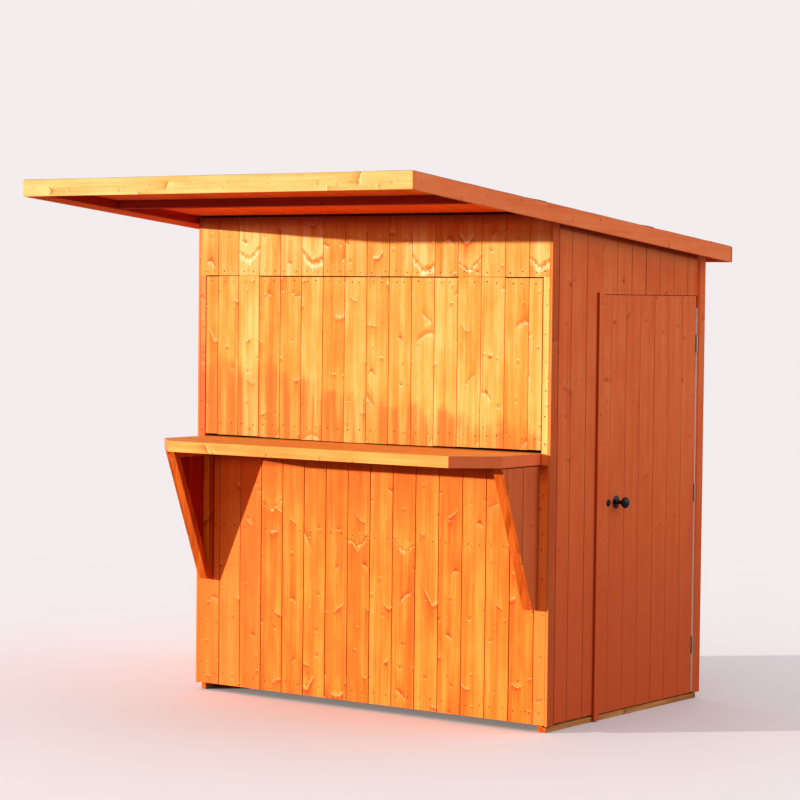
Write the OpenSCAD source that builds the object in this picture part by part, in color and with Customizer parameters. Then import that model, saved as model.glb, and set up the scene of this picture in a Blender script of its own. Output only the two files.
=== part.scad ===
// Garden bar: a small timber pent-roof building with a serving hatch and
// counter under a deep front canopy, and a single door in the right side.
// Millimetres, +Z up, +X to the right seen from the front, +Y to the back.
// The origin is on the ground at the centre of the building's outline.

/* [Body] */
// Outside width over the cladding boards, without the corner trims
body_w = 1776; // [1650:2:1900]
// Outside depth over the front and back cladding boards
body_d = 1192; // [1192:2:1300]
// Thickness of the tongue-and-groove cladding boards
board_t = 12; // [10:1:14]
// Depth of the front and back framing battens behind the boards
frame_t = 28; // [24:1:32]
// Depth of the side wall framing and the door's ledges behind the boards
side_t = 18; // [16:1:20]
// Height of the cladding's bottom edge above the ground
clad_z = 30; // [20:1:40]
// Width of the corner trims on the side walls
trim_w = 46; // [36:1:49]
// Thickness of the corner trims and the door cover strip
trim_t = 12; // [10:1:14]

/* [Floor] */
// Height of the floor bearers
bearer_h = 45; // [40:1:50]
// Thickness of the floor boards
floor_t = 12; // [10:1:16]

/* [Hatch and counter] */
// Width of the fixed front strip at each side of the hatch
strip_w = 30; // [30:1:60]
// Height of the hatch's bottom edge above the ground
hatch_z0 = 1102; // [1100:1:1140]
// Height of the hatch's top edge above the ground
hatch_z1 = 1771; // [1700:1:1780]
// Height of the counter's top surface
counter_z = 1091; // [1060:1:1094]
// Thickness of the counter
counter_t = 45; // [30:1:50]
// Reach of the counter in front of the wall
counter_d = 410; // [380:5:500]
// Width of each clipped corner of the counter, along the front
corner_x = 153; // [60:1:170]
// Depth of each clipped corner of the counter, along the ends
corner_y = 145; // [100:5:160]
// Reach of the counter brackets in front of the wall
bracket_d = 263; // [200:1:263]
// Height of the counter brackets
bracket_h = 564; // [450:2:600]
// Inset of the left bracket from the counter's end
inset_l = 6; // [0:1:100]
// Inset of the right bracket from the counter's end
inset_r = 6; // [0:1:100]

/* [Door] */
// Distance from the front of the wall to the door's latch edge
door_y0 = 390; // [380:1:391]
// Width of the door
door_w = 747; // [600:1:747]
// Height of the door's bottom edge above the ground
door_z0 = 27; // [20:1:40]
// Height of the door's top edge above the ground
door_z1 = 1710; // [1600:1:1720]
// Height of the knob and the keyhole above the ground
knob_z = 874; // [820:1:1000]

/* [Roof] */
// Reach of the canopy in front of the wall, over the fascia
front_over = 1005; // [800:5:1050]
// Reach of the roof behind the back wall, over the rear fascia
rear_over = 128; // [80:2:160]
// Reach of the roof beyond the corner trims at each side
side_over = 56; // [50:1:70]
// Fall of the roof towards the back, in millimetres per metre
fall = 94; // [80:1:110]
// Height of the roof boards' underside at the front wall
eave_z = 2030; // [2020:1:2080]
// Height of the fascia and barge boards
fascia_h = 66; // [64:1:90]
// Thickness of the fascia and barge boards
fascia_t = 15; // [12:1:18]
// Thickness of the roof boards
deck_t = 12; // [10:1:12]
// Thickness of the roofing felt
felt_t = 2; // [1:1:3]
// Width and height of the roof battens
batten = 32; // [28:1:36]

/* [Hidden] */
$fn = 48;

hw = body_w / 2;                       // outer face of the side boards
iw = hw - board_t;                     // inner face of the side boards
fw = iw - side_t;                      // inner face of the side framing
hatch_w = body_w - 2 * strip_w - 10;   // width of the hatch panel
wall_y = front_over - (front_over + body_d + rear_over) / 2; // front face
slope = fall / 1000;
floor_z = bearer_h + floor_t;
tx = hw + trim_t;                      // outer face of the trims
bx = tx + side_over;                   // outer face of the barge boards
y_front = -front_over;                 // front of the roof, from the wall
y_rear = body_d + rear_over;           // back of the roof, from the wall
under_h = 50;                          // roof boards' underside over the barge's bottom edge
counter_w = hatch_w + 10;              // the counter fills the opening
hinge_y = board_t + frame_t + 5;       // hatch hinge pin, behind the framing
hinge_z = hatch_z1 + 2.5;
pin_x = hw + 4;                        // door hinge pin, at the outer face
door_y1 = door_y0 + door_w;            // hinge edge of the door
pin_y = door_y1 + 3;
gap = 0.4;                             // joint between two separate battens
play = 0.1;                            // joint under the roof boards
painted = [0.86, 0.47, 0.20];
shaded = [0.72, 0.36, 0.18];
pale = [0.95, 0.72, 0.40];
raw = [0.62, 0.44, 0.27];
iron = [0.06, 0.06, 0.07];
steel = [0.60, 0.60, 0.58];
felt_grey = [0.25, 0.25, 0.27];

// Height of the roof boards' underside above a point y behind the front wall
function zu(y) = eave_z - slope * y;

// A block between two corners, measured from the front wall's face
module block(x0, x1, y0, y1, z0, z1)
  translate([x0, wall_y + y0, z0]) cube([x1 - x0, y1 - y0, z1 - z0]);

// A plate with its outline in the Y-Z plane, from x0 to x1
module side_plate(x0, x1, pts)
  translate([x0, wall_y, 0]) rotate([90, 0, 90])
    linear_extrude(x1 - x0) polygon(pts);

// A wall board or trim from z0 up to the underside of the roof
module to_roof(x0, x1, y0, y1, z0)
  side_plate(x0, x1, [[y0, z0], [y1, z0],
                      [y1, zu(y1) - play], [y0, zu(y0) - play]]);

// A layer of the roof from lo to hi above the roof boards' underside
module roof_layer(x0, x1, y0, y1, lo, hi)
  side_plate(x0, x1, [[y0, zu(y0) + lo], [y1, zu(y1) + lo],
                      [y1, zu(y1) + hi], [y0, zu(y0) + hi]]);

// ---- floor ----
run_r = iw - 5;                        // outer side of the right runner
module floor_bearers() color(raw) {
  for (x = [-iw, run_r - 24])
    block(x, x + 24, board_t, body_d - board_t, 0, bearer_h);
  for (y = [155, body_d / 2 - 20, body_d - board_t - 45])
    block(-iw + 24 + gap, run_r - 24 - gap, y, y + 40, 0, bearer_h);
  // edge strip on the right runner, clear of the door's foot
  block(run_r + gap, hw - 0.5, board_t, body_d - board_t,
        0, min(door_z0, clad_z) - 6);
}

// The floor's edge is set back behind the foot of the door
module floor_boards() color(raw) difference() {
  block(-iw, iw, board_t, body_d - board_t, bearer_h, floor_z);
  block(run_r, iw + 1, door_y0 - 6, door_y1 + 6, bearer_h - 1, floor_z + 1);
}

// ---- cladding ----
module front_lower_wall() color(painted)
  block(-hw, hw, 0, board_t, clad_z, counter_z - counter_t);

module front_header() color(pale)
  to_roof(-hw, hw, 0, board_t, hatch_z1 + 5);

module front_strip(s) color(pale)
  block(s > 0 ? hatch_w / 2 + 5 : -hw, s > 0 ? hw : -hatch_w / 2 - 5,
        0, board_t, counter_z - counter_t, hatch_z1 + 5);
module front_strip_left() front_strip(-1);
module front_strip_right() front_strip(1);

module left_wall() color(shaded)
  to_roof(-hw, -iw, board_t, body_d - board_t, clad_z);

module back_wall() color(shaded)
  to_roof(-hw, hw, body_d - board_t, body_d, clad_z);

module right_wall_front() color(shaded)
  to_roof(iw, hw, board_t, door_y0 - 6, clad_z);

module right_wall_header() color(shaded)
  to_roof(iw, hw, door_y0 - 6, door_y1 + 6, door_z1 + 5);

module right_wall_rear() color(shaded)
  to_roof(iw, hw, door_y1 + 6, body_d - board_t, clad_z);

// ---- corner trims and the strip beside the door ----
module corner_trim(s, y0, y1, z0)
  to_roof(s > 0 ? hw : -tx, s > 0 ? tx : -hw, y0, y1, z0);
module corner_trim_front_left() color(painted) corner_trim(-1, 0, trim_w, 26);
module corner_trim_front_right() color(painted) corner_trim(1, 0, trim_w, 26);
module corner_trim_rear_left() color(shaded)
  corner_trim(-1, body_d - trim_w + 2, body_d, 26);
module corner_trim_rear_right() color(shaded)
  corner_trim(1, body_d - trim_w + 2, body_d, 26);

module door_jamb_strip() color(shaded)
  block(hw, tx, door_y0 - 43, door_y0 - 6, 5, door_z1 + 9);

// ---- wall framing ----
module front_frame() color(raw) {
  y0 = board_t; y1 = board_t + frame_t;
  top = counter_z - counter_t;
  // posts at both ends, from the floor to the roof
  for (s = [-1, 1])
    to_roof(s > 0 ? fw : -iw, s > 0 ? iw : -fw, y0, y1, floor_z);
  // rails of the lower wall
  for (z = [floor_z, 693, top - 44])
    block(-fw + gap, fw - gap, y0, y1, z, z + 44);
  // rail over the hatch
  block(-fw + gap, fw - gap, y0, y1, hatch_z1 + 5, hatch_z1 + 41);
  // plate under the roof
  side_plate(-fw + gap, fw - gap,
    [[y0, zu(y0) - 44], [y1, zu(y1) - 44],
     [y1, zu(y1) - play], [y0, zu(y0) - play]]);
}

// Posts and rails of a side wall between y0 and y1, on the side s
module side_frame(s, y0, y1) {
  x0 = s > 0 ? fw : -iw; x1 = s > 0 ? iw : -fw;
  for (y = [y0, y1 - 44]) to_roof(x0, x1, y, y + 44, floor_z);
  for (z = [floor_z, 685, 1345])
    block(x0, x1, y0 + 44 + gap, y1 - 44 - gap, z, z + 44);
}

module left_frame() color(raw)
  side_frame(-1, board_t + frame_t + gap, body_d - board_t - frame_t - gap);

module right_frame() color(raw) {
  side_frame(1, board_t + frame_t + gap, door_y0 - 6);
  // door stop on the latch side, clear of the closed door
  block(fw, iw - 6, door_y0 - 6 + gap, door_y0 + 14, floor_z, door_z1 - 60);
  // rail over the door
  block(fw, iw, door_y0 - 6 + gap, door_y1 + 6 - gap,
        door_z1 + 5, door_z1 + 41);
  // hinge post
  to_roof(fw, iw, door_y1 + 6, body_d - board_t, floor_z);
}

module back_frame() color(raw) {
  y0 = body_d - board_t - frame_t; y1 = body_d - board_t;
  for (s = [-1, 1])
    to_roof(s > 0 ? fw - gap - 44 : -iw, s > 0 ? fw - gap : -iw + 44,
            y0, y1, floor_z);
  to_roof(-22, 22, y0, y1, floor_z);
  for (z = [floor_z, 685, 1345]) {
    block(-iw + 44 + gap, -22 - gap, y0, y1, z, z + 44);
    block(22 + gap, fw - 44 - 2 * gap, y0, y1, z, z + 44);
  }
}

// ---- counter and brackets ----
module counter_top() color(painted)
  translate([0, wall_y, counter_z - counter_t]) linear_extrude(counter_t)
    polygon([[-counter_w / 2, board_t + frame_t],
             [-counter_w / 2, -counter_d + corner_y],
             [-counter_w / 2 + corner_x, -counter_d],
             [counter_w / 2 - corner_x, -counter_d],
             [counter_w / 2, -counter_d + corner_y],
             [counter_w / 2, board_t + frame_t]]);

br_top = counter_z - counter_t;
br_foot = 40;                          // depth of the bracket's flat foot

// Inner and outer faces of a bracket's layer between a and b, in millimetres
// inwards from its outer face, on the side s
function layer0(s, a, b) = s > 0 ? counter_w / 2 - inset_r - b
                                 : -counter_w / 2 + inset_l + a;
function layer1(s, a, b) = layer0(s, a, b) + b - a;

// Boarded triangular bracket, on the side s
module bracket(s)
  side_plate(layer0(s, 0, 12), layer1(s, 0, 12),
    [[0, br_top - bracket_h], [0, br_top], [-bracket_d, br_top],
     [-br_foot, br_top - bracket_h]]);
module bracket_left() color(shaded) bracket(-1);
module bracket_right() color(shaded) bracket(1);

// Battens on a bracket's inner face: along the wall, under the counter and
// along the sloping front edge
module bracket_battens(s) {
  x0 = layer0(s, 12, 46); x1 = layer1(s, 12, 46);
  zf = br_top - bracket_h;
  run = (bracket_d - br_foot) / bracket_h;
  y2 = -28 - gap;
  side_plate(x0, x1, [[-28, zf], [0, zf], [0, br_top], [-28, br_top]]);
  side_plate(x0, x1, [[y2, br_top - 36], [y2, br_top],
                      [-bracket_d + 31, br_top],
                      [-bracket_d + 31 + run * 36, br_top - 36]]);
  side_plate(x0, x1, [[-br_foot, zf], [y2, zf],
                      [y2, zf + (30 - br_foot - y2) / run],
                      [-bracket_d + 30, br_top], [-bracket_d, br_top]]);
}
module bracket_battens_left() color(shaded) bracket_battens(-1);
module bracket_battens_right() color(painted) bracket_battens(1);

// ---- hatch ----
module hatch_boards() color(pale)
  block(-hatch_w / 2, hatch_w / 2, 0, board_t, hatch_z0, hatch_z1);

module hatch_battens() color(raw) {
  y0 = board_t; y1 = board_t + frame_t; e = hatch_w / 2 - 4;
  for (z = [hatch_z0 + 24, hatch_z1 - 36])
    block(-e, e, y0, y1, z, z + 36);
  for (x = [-e, -e / 2 - 9, -18, e / 2 - 27, e - 36])
    block(x, x + 36, y0, y1, hatch_z0 + 60 + gap, hatch_z1 - 36 - gap);
}

hatch_hinge_x = [-560, 0, 560];

// Wall half of the hatch hinges: leaf, two outer knuckles and the pin
module hatch_hinges_wall() color(steel)
  for (x = hatch_hinge_x) translate([x, wall_y + hinge_y, hinge_z]) {
    difference() {
      union() {
        translate([-37, -5, 7]) cube([74, 2, 26]);
        for (k = [-37, 13]) translate([k, 0, 0]) rotate([0, 90, 0])
          cylinder(h = 24, r = 5);
        for (k = [-37, 13]) translate([k, -5, 0]) cube([24, 2.5, 8]);
      }
      translate([-40, 0, 0]) rotate([0, 90, 0]) cylinder(h = 80, r = 2.5);
    }
    translate([-37, 0, 0]) rotate([0, 90, 0]) cylinder(h = 74, r = 2.5);
  }

// Moving half of the hatch hinges: leaf and middle knuckle
module hatch_hinges_leaf() color(steel)
  for (x = hatch_hinge_x) translate([x, wall_y + hinge_y, hinge_z])
    difference() {
      union() {
        translate([-37, -5, -36]) cube([74, 2, 29]);
        translate([-12, 0, 0]) rotate([0, 90, 0]) cylinder(h = 24, r = 5);
        translate([-12, -5, -8]) cube([24, 2.5, 8]);
      }
      translate([-40, 0, 0]) rotate([0, 90, 0]) cylinder(h = 80, r = 2.55);
    }

// ---- door ----
module door_boards() color(shaded) difference() {
  block(iw, hw, door_y0, door_y1, door_z0, door_z1);
  translate([iw - 1, wall_y + door_y0 + 122, knob_z]) rotate([0, 90, 0])
    cylinder(h = board_t + 2, r = 7);
}

module door_ledges() color(raw) {
  x0 = fw; x1 = iw;
  block(x0, x1, door_y0 + 22, door_y0 + 64, floor_z + 8, door_z1 - 12);
  block(x0, x1, door_y1 - 44, door_y1, floor_z + 8, door_z1 - 12);
  for (z = [floor_z + 30, knob_z - 154, door_z1 - 56])
    block(x0, x1, door_y0 + 64 + gap, door_y1 - 44 - gap, z, z + 44);
}

door_hinge_z = [230, 880, 1510];

// Post half of the door hinges: leaf on the post's edge, knuckles and pin
module door_hinges_post() color(steel)
  for (z = door_hinge_z) translate([pin_x, wall_y + pin_y, z]) {
    difference() {
      union() {
        translate([-32, 1.5, -37]) cube([32, 1.5, 74]);
        for (k = [-37, 13]) translate([0, 0, k]) cylinder(h = 24, r = 4);
      }
      translate([0, 0, -40]) cylinder(h = 80, r = 2);
      translate([-5, -5, -12.5]) cube([10, 10, 25]);
    }
    translate([0, 0, -37]) cylinder(h = 74, r = 2);
  }

// Door half of the door hinges: leaf on the door's edge, middle knuckle
module door_hinges_leaf() color(steel)
  for (z = door_hinge_z) translate([pin_x, wall_y + pin_y, z])
    difference() {
      union() {
        translate([-32, -3, -37]) cube([26, 1.5, 74]);
        translate([-32, -3, -12]) cube([32, 1.5, 24]);
        translate([0, 0, -12]) cylinder(h = 24, r = 4);
      }
      translate([0, 0, -40]) cylinder(h = 80, r = 2.05);
    }

// Turned knobs on both ends of the spindle, as one turning piece
knob_y = door_y0 + 122;
module knob_profile() polygon([[0, 0], [10, 0], [8, 6], [7.5, 14], [10, 20],
  [17, 26], [22, 32], [23, 38], [21, 44], [15, 49], [8, 51.5], [0, 52]]);
module door_knob() color(iron) translate([hw + 6.5, wall_y + knob_y, knob_z]) {
  rotate([0, 90, 0]) rotate_extrude() knob_profile();
  translate([-(board_t + side_t + 32), 0, 0]) rotate([0, 90, 0])
    cylinder(h = board_t + side_t + 34, r = 4);
  translate([-(board_t + side_t + 30), 0, 0]) rotate([0, -90, 0])
    rotate_extrude() knob_profile();
}

module knob_rose() color(iron) translate([hw, wall_y + knob_y, knob_z])
  rotate([0, 90, 0]) difference() {
    rotate_extrude() polygon([[0, 0], [26.5, 0], [26.5, 1.5], [22, 3],
      [17, 5], [12, 6], [0, 6]]);
    translate([0, 0, -1]) cylinder(h = 9, r = 5);
  }

module keyhole_cover() color(iron)
  translate([hw, wall_y + door_y0 + 62, knob_z]) rotate([0, 90, 0])
    rotate_extrude() polygon([[0, 0], [15, 0], [15, 1.5], [12, 3.5], [0, 4]]);

module lock_case() color(iron) difference() {
  block(fw - 22, fw, door_y0 + 22, door_y0 + 172, knob_z - 50, knob_z + 50);
  translate([fw - 23, wall_y + knob_y, knob_z]) rotate([0, 90, 0])
    cylinder(h = 24, r = 4.05);
}

// ---- roof ----
bi = bx - fascia_t;                    // inner face of the barge boards
module roof_deck() color(raw)
  roof_layer(-bi, bi, y_front + fascia_t, y_rear - fascia_t, 0, deck_t);

module roof_felt() color(felt_grey)
  roof_layer(-bi, bi, y_front + fascia_t, y_rear - fascia_t,
             deck_t, deck_t + felt_t);

module front_fascia() color(pale)
  block(-bx, bx, y_front, y_front + fascia_t,
        zu(y_front) - under_h, zu(y_front) - under_h + fascia_h);

module rear_fascia() color(shaded)
  block(-bx, bx, y_rear - fascia_t, y_rear,
        zu(y_rear) - under_h, zu(y_rear) - under_h + fascia_h);

module barge_board(s)
  roof_layer(s > 0 ? bi : -bx, s > 0 ? bx : -bi,
             y_front + fascia_t, y_rear - fascia_t,
             -under_h, -under_h + fascia_h);
module barge_board_left() color(shaded) barge_board(-1);
module barge_board_right() color(shaded) barge_board(1);

// Rafters along the inner faces of the barge boards
module roof_side_rafters() color(shaded)
  for (s = [-1, 1])
    roof_layer(s > 0 ? bi - batten : -bi, s > 0 ? bi : -bi + batten,
               y_front + fascia_t, y_rear - fascia_t, -batten, -play);

// Cross battens: behind the front fascia, across the canopy, two inside the
// walls and one behind the rear fascia
module roof_purlins() color(shaded) {
  e = bi - batten - gap;
  for (y = [y_front + fascia_t, -500, y_rear - fascia_t - batten])
    roof_layer(-e, e, y, y + batten, -batten, -play);
  for (y = [430, 850])
    roof_layer(-iw, iw, y, y + batten, -batten, -play);
}

floor_bearers();
floor_boards();
front_lower_wall();
front_header();
front_strip_left();
front_strip_right();
left_wall();
back_wall();
right_wall_front();
right_wall_header();
right_wall_rear();
corner_trim_front_left();
corner_trim_front_right();
corner_trim_rear_left();
corner_trim_rear_right();
door_jamb_strip();
front_frame();
left_frame();
back_frame();
right_frame();
counter_top();
bracket_left();
bracket_right();
bracket_battens_left();
bracket_battens_right();
hatch_boards();
hatch_battens();
hatch_hinges_wall();
hatch_hinges_leaf();
door_boards();
door_ledges();
door_hinges_post();
door_hinges_leaf();
door_knob();
knob_rose();
keyhole_cover();
lock_case();
roof_deck();
roof_felt();
front_fascia();
rear_fascia();
barge_board_left();
barge_board_right();
roof_purlins();
roof_side_rafters();
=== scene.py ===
import bpy, bmesh, math, random
from mathutils import Matrix, Vector


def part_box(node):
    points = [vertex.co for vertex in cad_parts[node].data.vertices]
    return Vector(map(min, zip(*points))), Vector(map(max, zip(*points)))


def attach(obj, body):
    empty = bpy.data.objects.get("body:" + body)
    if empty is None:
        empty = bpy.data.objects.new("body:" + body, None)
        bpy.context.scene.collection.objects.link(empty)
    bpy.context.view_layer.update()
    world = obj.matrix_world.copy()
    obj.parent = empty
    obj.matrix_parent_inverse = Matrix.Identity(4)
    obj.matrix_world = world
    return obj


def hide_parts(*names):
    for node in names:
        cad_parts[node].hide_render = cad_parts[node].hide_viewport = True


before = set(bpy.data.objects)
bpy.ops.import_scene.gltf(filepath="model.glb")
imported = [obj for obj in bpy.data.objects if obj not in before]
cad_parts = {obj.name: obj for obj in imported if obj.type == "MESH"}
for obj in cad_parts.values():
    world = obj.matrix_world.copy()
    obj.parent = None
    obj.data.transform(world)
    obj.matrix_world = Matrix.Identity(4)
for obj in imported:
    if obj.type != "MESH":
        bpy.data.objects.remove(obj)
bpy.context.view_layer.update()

RNG = random.Random(7)

# ------------------------------------------------------------------ frame
# Lengths in metres. F(y) turns a distance behind the front wall's face, in
# millimetres, into the row frame's Y.
WALL_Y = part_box("front_lower_wall")[0][1]
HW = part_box("front_lower_wall")[1][0]
ROOF_LO, ROOF_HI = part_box("front_fascia")
REAR_LO, REAR_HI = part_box("rear_fascia")
SLOPE = 0.094
UNDER = 0.050


def F(mm):
    return WALL_Y + mm / 1000.0


def zu(y):
    """Underside of the roof boards at row-frame Y."""
    return ROOF_LO[2] + UNDER - SLOPE * (y - ROOF_LO[1])


# ---------------------------------------------------------- node helpers
class Sock:
    """A shader socket that does arithmetic."""
    def __init__(self, tree, out):
        self.t, self.o = tree, out

    def _m(self, op, *rest):
        n = self.t.nodes.new("ShaderNodeMath")
        n.operation = op
        self.t.links.new(self.o, n.inputs[0])
        for i, r in enumerate(rest):
            if isinstance(r, Sock):
                self.t.links.new(r.o, n.inputs[i + 1])
            else:
                n.inputs[i + 1].default_value = r
        return Sock(self.t, n.outputs[0])

    def __add__(self, r): return self._m("ADD", r)
    __radd__ = __add__
    def __sub__(self, r): return self._m("SUBTRACT", r)
    def __rsub__(self, r): return self._m("MULTIPLY", -1.0)._m("ADD", r)
    def __mul__(self, r): return self._m("MULTIPLY", r)
    __rmul__ = __mul__
    def __truediv__(self, r): return self._m("DIVIDE", r)
    def pow(self, r): return self._m("POWER", r)
    def abs(self): return self._m("ABSOLUTE")
    def sin(self): return self._m("SINE")
    def sqrt(self): return self._m("SQRT")
    def exp(self): return self._m("EXPONENT")
    def fract(self): return self._m("FRACT")
    def gt(self, r): return self._m("GREATER_THAN", r)
    def min(self, r): return self._m("MINIMUM", r)
    def max(self, r): return self._m("MAXIMUM", r)

    def ramp(self, a, b, lo=0.0, hi=1.0, smooth=True):
        n = self.t.nodes.new("ShaderNodeMapRange")
        n.interpolation_type = "SMOOTHSTEP" if smooth else "LINEAR"
        self.t.links.new(self.o, n.inputs["Value"])
        n.inputs["From Min"].default_value = a
        n.inputs["From Max"].default_value = b
        n.inputs["To Min"].default_value = lo
        n.inputs["To Max"].default_value = hi
        return Sock(self.t, n.outputs[0])


def vec(t, x, y, z):
    n = t.nodes.new("ShaderNodeCombineXYZ")
    for i, s in enumerate((x, y, z)):
        if isinstance(s, Sock):
            t.links.new(s.o, n.inputs[i])
        else:
            n.inputs[i].default_value = s
    return Sock(t, n.outputs[0])


def noise(t, v, scale=1.0, detail=2.0, rough=0.5):
    n = t.nodes.new("ShaderNodeTexNoise")
    n.inputs["Scale"].default_value = scale
    n.inputs["Detail"].default_value = detail
    n.inputs["Roughness"].default_value = rough
    t.links.new(v.o, n.inputs["Vector"])
    return Sock(t, n.outputs[0])


def mixc(t, fac, a, b):
    n = t.nodes.new("ShaderNodeMix")
    n.data_type = "RGBA"
    t.links.new(fac.o, n.inputs[0])
    for i, c in ((6, a), (7, b)):
        if isinstance(c, Sock):
            t.links.new(c.o, n.inputs[i])
        else:
            n.inputs[i].default_value = (*c, 1.0)
    return Sock(t, n.outputs[2])


def new_mat(name):
    m = bpy.data.materials.new(name)
    m.use_nodes = True
    t = m.node_tree
    bsdf = t.nodes["Principled BSDF"]
    return m, t, bsdf


def bump(t, bsdf, height, strength=0.4, dist=0.001):
    n = t.nodes.new("ShaderNodeBump")
    n.inputs["Strength"].default_value = strength
    n.inputs["Distance"].default_value = dist
    t.links.new(height.o, n.inputs["Height"])
    t.links.new(n.outputs[0], bsdf.inputs["Normal"])


def cells(t, u, v, ox, ku, kv):
    """Scattered marks: offsets from the nearest one and its random numbers."""
    pu, pv = u * ku + ox * 3.1, v * kv + ox * 5.0
    vor = t.nodes.new("ShaderNodeTexVoronoi")
    vor.voronoi_dimensions = "2D"
    vor.inputs["Scale"].default_value = 1.0
    vor.inputs["Randomness"].default_value = 0.92
    t.links.new(vec(t, pu, pv, 0.0).o, vor.inputs["Vector"])
    sp = t.nodes.new("ShaderNodeSeparateXYZ")
    t.links.new(vor.outputs["Position"], sp.inputs[0])
    sc = t.nodes.new("ShaderNodeSeparateColor")
    t.links.new(vor.outputs["Color"], sc.inputs[0])
    c = [Sock(t, sc.outputs[i]) for i in range(3)]
    du = (pu - Sock(t, sp.outputs[0])) / ku
    dv = (pv - Sock(t, sp.outputs[1])) / kv
    return du, dv, c


def gauss(x):
    return (x.pow(2.0) * -1.0).exp()


def wood(name, dark, mid, light, knot, pale, knots=0.72, vary=0.5, streak=1.0,
         rough=0.5, figure=1.0, joint=None, deep=0.9, bands=(), slants=(), sheen_lift=0.012):
    """Stained softwood with streaks, growth rings, knots and their figures.

    Reads each board's own coordinates: bco = (across, along, depth) in metres,
    bid, a number from 0 to 1 that differs from board to board, and bjt, which
    is 1 inside the joints between boards. Each band is a tint that comes in
    with height: (low, high, amount below, amount above, colour, lean along X);
    a leaning one goes in streaks. Each slant is a tint that comes in along a
    direction: (x, y, z, from, to, amount, colour)."""
    m, t, bsdf = new_mat(name)

    # sheen_lift is a painted sheen: a little grey added to every colour in place of the reflection that the low IOR
    # set below leaves out.
    def tone(c):
        return tuple(min(x + sheen_lift, 1.0) for x in c)

    dark, mid, light, knot, pale = (tone(c) for c in (dark, mid, light, knot, pale))
    at = {}
    for key in ("bco", "bid", "bjt", "bmk"):
        n = t.nodes.new("ShaderNodeAttribute")
        n.attribute_name = key
        at[key] = n
    s = t.nodes.new("ShaderNodeSeparateXYZ")
    t.links.new(at["bco"].outputs["Vector"], s.inputs[0])
    u0, v, w = (Sock(t, s.outputs[i]) for i in range(3))
    u = u0 + w                      # the figure runs on round a board's edge
    r = Sock(t, at["bid"].outputs["Fac"])
    jt = Sock(t, at["bjt"].outputs["Fac"])
    ox = r * 37.0
    wob = noise(t, vec(t, u * 80.0 + ox, v * 70.0, ox), 1.0, 3.0) - 0.5
    brk = noise(t, vec(t, u * 190.0 + ox, v * 110.0 + ox, 0.0), 1.0, 2.0).ramp(0.34, 0.60, 0.25, 1.0)

    # large marks: a knot, a pale crescent or chevron over it, a dark one
    # under that and a darker patch that fades away along the board
    du, dv, (c1, c2, c3) = cells(t, u, v, ox, 8.2, 4.4)
    q1, q2, q3 = (c1 * 17.3).fract(), (c2 * 23.7).fract(), (c3 * 31.1).fract()
    here = c1.gt(1.0 - knots)
    big = c2.gt(0.86)
    aa = du.abs()
    sg = c3.gt(0.5) * 2.0 - 1.0
    half = (q3 * 0.020 + 0.012) * (big * 1.3 + 1.0)
    reach = ((half - aa) / (half * 0.45)).ramp(0.0, 1.0) * here
    tp = q1 * 0.0026 + big * 0.0032 + 0.0026
    sft = dv * sg - aa * (q2 * 0.9 + big * 0.3) - du * ((q1 - 0.5) * 1.5) + wob * 0.016
    vee = gauss(sft / tp) * reach * brk
    under = gauss((sft + tp * 2.1) / (tp * 1.35)) * reach
    far = (sft + tp) * -1.0
    patch = far.ramp(0.0, 0.005) * (far / (c2 * 0.05 + 0.03) * -1.0).exp() * reach
    near = sft - tp
    halo = near.ramp(0.0, 0.006) * (near / -0.045).exp() * reach
    R = q2 * 0.0052 + 0.0030
    d = ((du * 1.1).pow(2.0) + ((dv + sg * R * 1.3) * 0.85).pow(2.0)).sqrt() + wob * 0.005
    core = ((R - d) / 0.0022).ramp(-0.5, 1.0) * here * q1.gt(0.3)
    dist = (R / (d + 0.004)) * here

    # small pin knots with a little light on one side
    eu, ev, (e1, e2, e3) = cells(t, u + 3.3, v + 1.7, ox + 5.0, 16.0, 7.5)
    on = e1.gt(1.0 - knots * 0.62)
    R2 = e2 * 0.0030 + 0.0018
    es = e3.gt(0.5) * 2.0 - 1.0
    d2 = (eu.pow(2.0) + ev.pow(2.0)).sqrt() + wob * 0.003
    core2 = ((R2 - d2) / 0.0018).ramp(-0.5, 1.0) * on
    arc = gauss((ev * es - R2 - 0.0030) / 0.0022) * ((R2 * 2.6 - eu.abs()) / 0.004).ramp(0.0, 1.0) * on * brk
    arcd = gauss((ev * es + R2 + 0.0034) / 0.0034) * ((R2 * 3.4 - eu.abs()) / 0.006).ramp(0.0, 1.0) * on

    # one wide chevron across a board, at the height and of the size in bmk
    ms = t.nodes.new("ShaderNodeSeparateXYZ")
    t.links.new(at["bmk"].outputs["Vector"], ms.inputs[0])
    mv, mz = Sock(t, ms.outputs[0]), Sock(t, ms.outputs[1])
    mo = mz.gt(0.05)
    ms_ = mz.max(0.05)
    cw = noise(t, vec(t, u * 34.0 + ox, v * 30.0, ox), 1.0, 2.0) - 0.5
    cs = (v - mv) - u.abs() * 0.72 - u * ((r - 0.5) * 0.7) + wob * 0.044 + cw * 0.030
    cbr = (cw + 0.5).ramp(0.36, 0.56, 0.25, 1.0)
    cdark = gauss((cs - ms_ * 0.013) / (ms_ * 0.0080)) * mo * brk * cbr
    cpale = gauss((cs + ms_ * 0.007) / (ms_ * 0.0085)) * mo * brk
    chalo = (cs - ms_ * 0.022).ramp(0.0, 0.01) * (cs / -0.07).exp() * mo
    cdot = gauss((u * u + (v - mv - 0.004).pow(2.0)).sqrt() / 0.0055) * mo

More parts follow.
